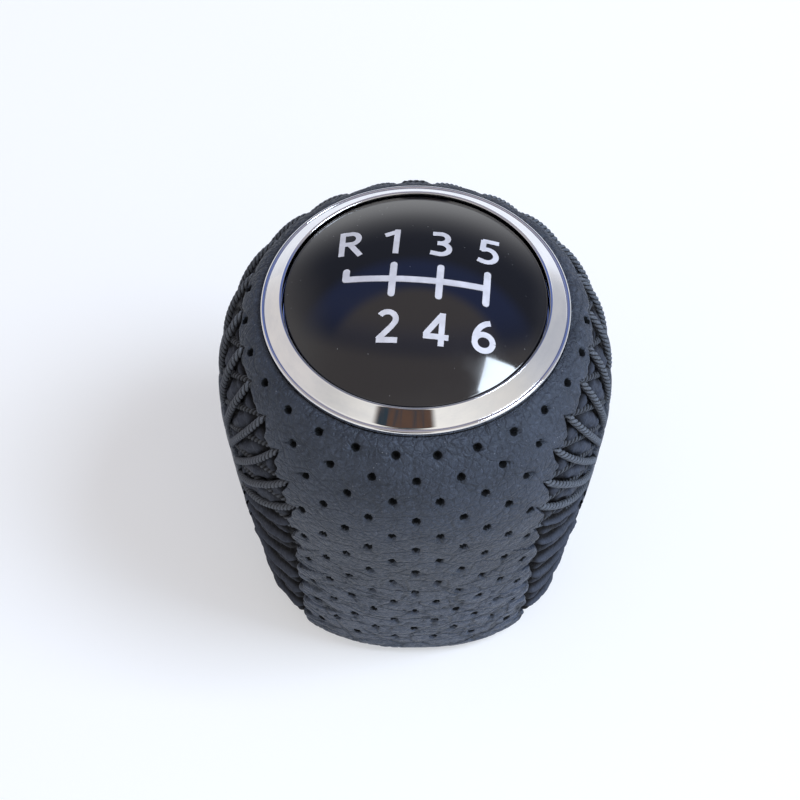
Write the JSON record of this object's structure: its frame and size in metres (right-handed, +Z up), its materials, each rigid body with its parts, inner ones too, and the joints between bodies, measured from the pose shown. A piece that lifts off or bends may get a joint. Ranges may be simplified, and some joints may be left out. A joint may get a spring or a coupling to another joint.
{
  "type": "gear shift knob",
  "caption": "Round-topped manual gear knob in laced perforated leather, with a bright trim ring and a gloss domed cap that carries the shift pattern.",
  "frame": {"origin": "centre of the base, on the surface that the knob stands on", "axes": "+Z up along the lever bore, -Y towards the driver, the side from which the pattern is read"},
  "size_m": [0.0492, 0.0484, 0.0546],
  "materials": {
    "core_plastic": "moulded, hidden under the leather",
    "sleeve_plastic": "satin glass-filled moulding",
    "spring_steel": "rolled spring strip",
    "collar_plastic": "fine-grained moulding",
    "strip_leather": "thin gathered leather under the lacing",
    "panel_leather": "matte pebbled leather with punched holes",
    "thread": "thick twisted thread",
    "bright_trim": "polished plated trim",
    "gloss_cap": "high-gloss black",
    "white_print": "light printed lines under a clear coat"
  },
  "bodies": {
    "root": {"core": "core_plastic", "lever_sleeve": "sleeve_plastic", "grip_spring": "spring_steel", "base_collar": "collar_plastic", "seam_strip": "strip_leather", "front_leather": "panel_leather", "rear_leather": "panel_leather", "lacing_under": "thread", "lacing_over": "thread", "trim_ring": "bright_trim", "cap": "gloss_cap", "gate_print": "white_print"}
  },
  "joints": []
}
